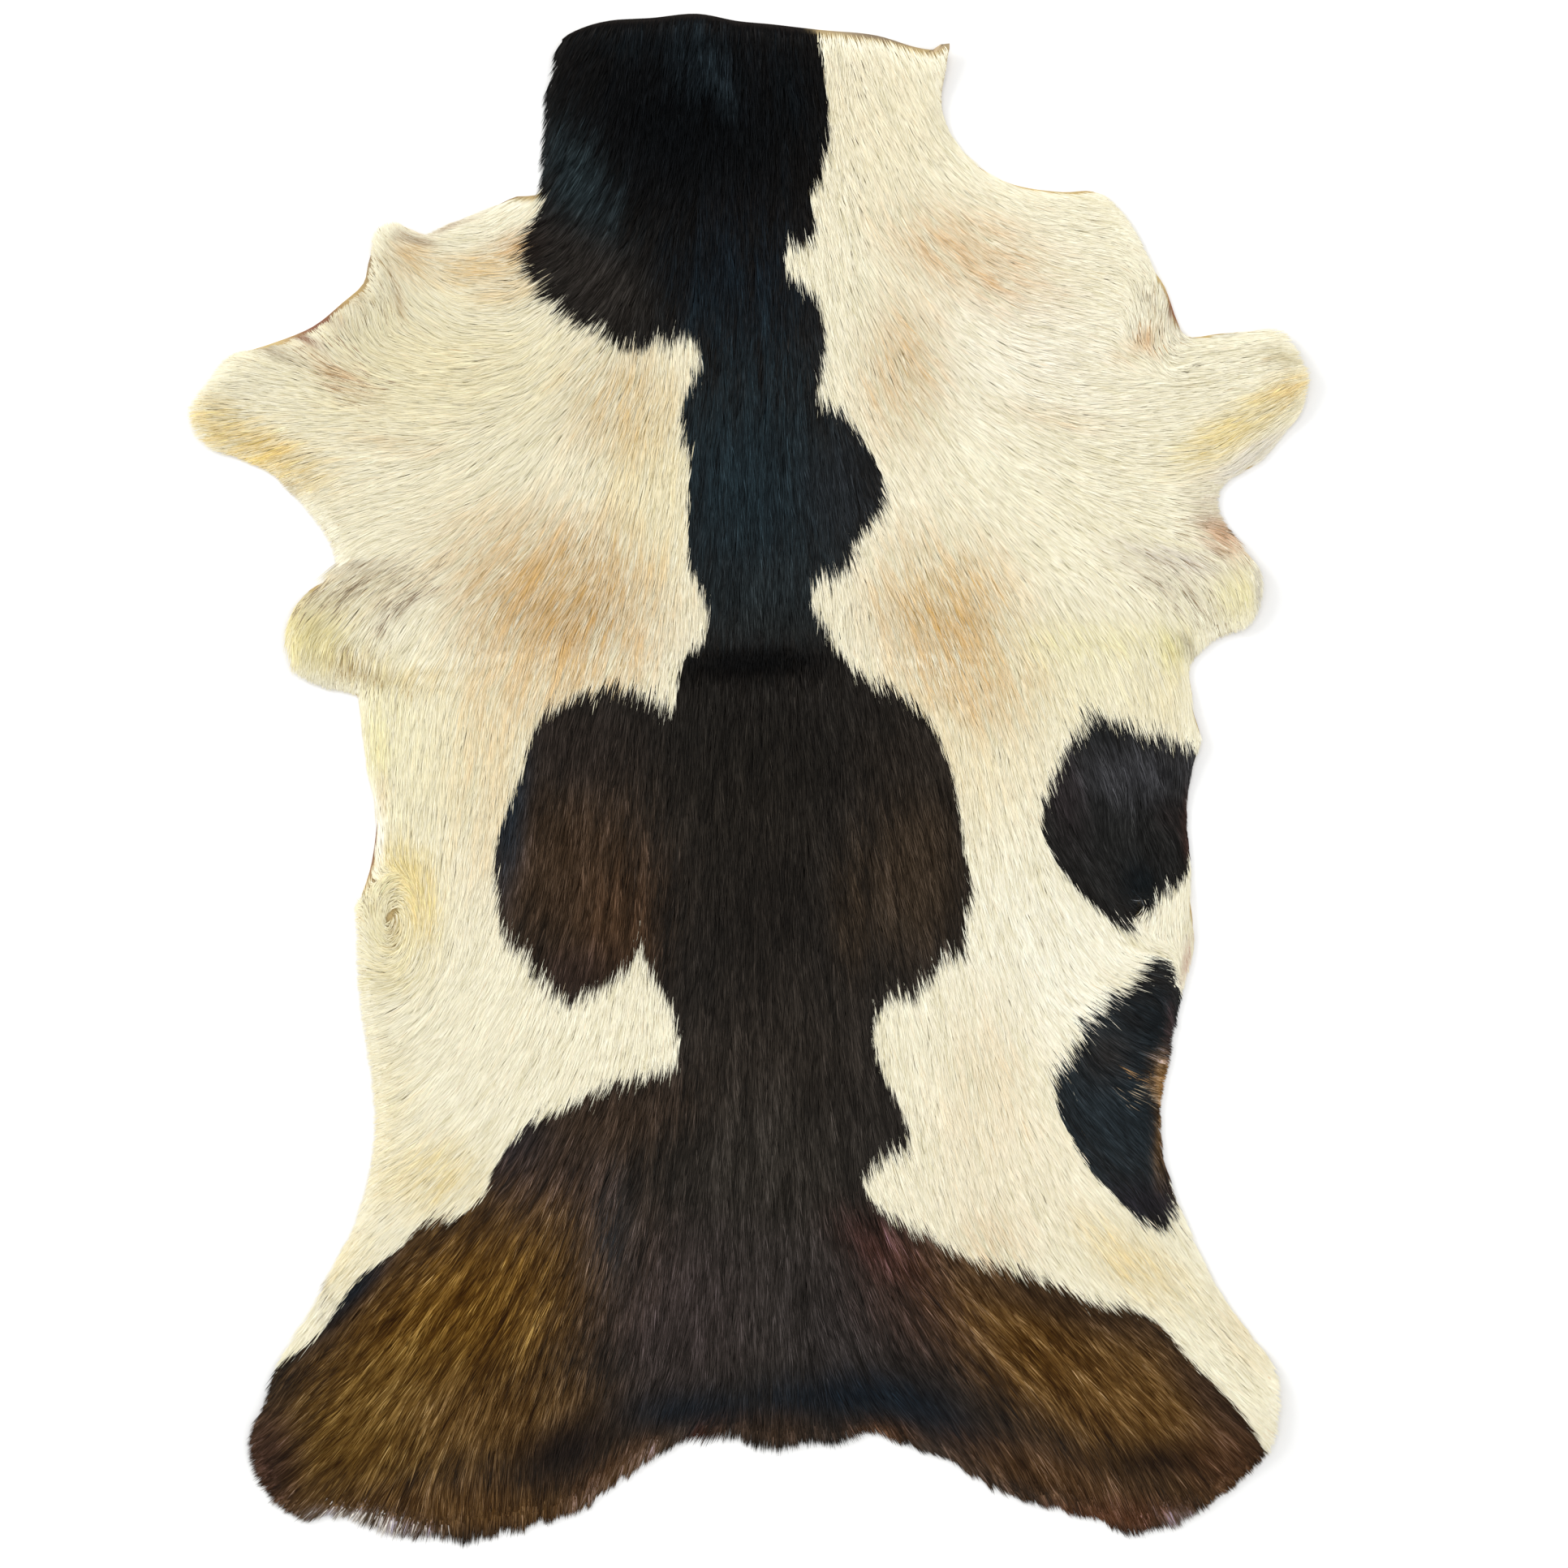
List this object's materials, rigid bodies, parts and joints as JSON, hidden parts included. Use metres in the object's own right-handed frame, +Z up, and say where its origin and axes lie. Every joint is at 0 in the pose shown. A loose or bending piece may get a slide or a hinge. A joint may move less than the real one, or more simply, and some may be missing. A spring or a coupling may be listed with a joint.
{
  "type": "goatskin",
  "caption": "Whole goatskin with the hair on, laid flat as a rug: neck, four short legs and a ragged haired lower edge, hair side up.",
  "frame": {"origin": "on the floor, under the middle of the hide's outline", "axes": "+Z up out of the hair side, +Y along the backbone towards the neck, +X to the right of someone who looks down on the hair"},
  "size_m": [0.6918, 0.945, 0.0143],
  "materials": {
    "hair": "smooth lying goat hair, cream with a black and brown saddle, soft sheen",
    "skin": "dressed goat leather, buffed flesh side, matt"
  },
  "bodies": {
    "root": {"goatskin": "hair"}
  },
  "joints": []
}
